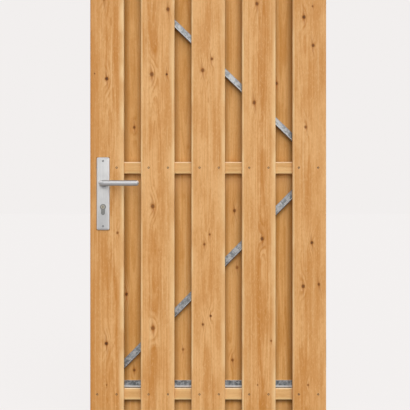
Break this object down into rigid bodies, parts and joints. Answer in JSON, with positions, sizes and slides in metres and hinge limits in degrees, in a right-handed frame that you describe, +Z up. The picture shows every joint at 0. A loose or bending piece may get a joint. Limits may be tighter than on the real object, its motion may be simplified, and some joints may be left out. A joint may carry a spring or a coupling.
{
  "type": "wooden board-on-board garden gate",
  "caption": "Tall garden gate: upright boards on both faces of a braced angle-steel frame, with long lock plates, levers and lift-off hinges that screw to a post.",
  "frame": {"origin": "centre of the lower hinge bracket's mounting face", "axes": "+X out of the mounting face, towards the hinge post; +Y from the front of the leaf to its back; +Z up"},
  "size_m": [0.99, 0.1885, 2.04],
  "materials": {
    "front_boards": "planed softwood, oiled",
    "back_boards": "planed softwood, oiled",
    "laths": "planed softwood, oiled",
    "galvanised": "hot-dip galvanised, spangled",
    "case": "grey primed sheet steel",
    "satin_steel": "satin stainless steel",
    "nickel": "matt nickel",
    "brass": "satin"
  },
  "bodies": {
    "post_side": {"hinge_bracket_bottom": "galvanised", "hinge_bracket_top": "galvanised"},
    "leaf": {"back_board_1": "back_boards", "back_board_2": "back_boards", "back_board_3": "back_boards", "back_board_4": "back_boards", "brace_lower": "galvanised", "brace_upper": "galvanised", "cylinder_body": "nickel", "cylinder_plug_back": "brass", "cylinder_plug_front": "brass", "dead_bolt": "nickel", "frame_rail_bottom": "galvanised", "frame_rail_top": "galvanised", "frame_stile_hinge": "galvanised", "frame_stile_lock": "galvanised", "front_board_1": "front_boards", "front_board_2": "front_boards", "front_board_3": "front_boards", "front_board_4": "front_boards", "front_board_5": "front_boards", "hinge_eye_bottom": "galvanised", "hinge_eye_top": "galvanised", "latch_bolt": "nickel", "lath_bottom": "laths", "lath_middle": "laths", "lath_top": "laths", "lock_case": "case", "lock_faceplate": "satin_steel", "plate_back": "satin_steel", "plate_front": "satin_steel"},
    "handle": {"lever_back": "satin_steel", "lever_front": "satin_steel", "spindle": "nickel"}
  },
  "joints": [
    {"name": "leaf_swing", "type": "hinge", "parent": "post_side", "child": "leaf", "pos_m": [-0.025, -0.025, 0], "axis": [0, 0, -1], "range_deg": [0, 100]},
    {"name": "handle_turn", "type": "hinge", "parent": "leaf", "child": "handle", "pos_m": [-0.935, -0.055, 0.717], "axis": [0, 1, 0], "range_deg": [0, 45], "stiffness_Nm_per_rad": 2, "springref_deg": -34.38}
  ]
}
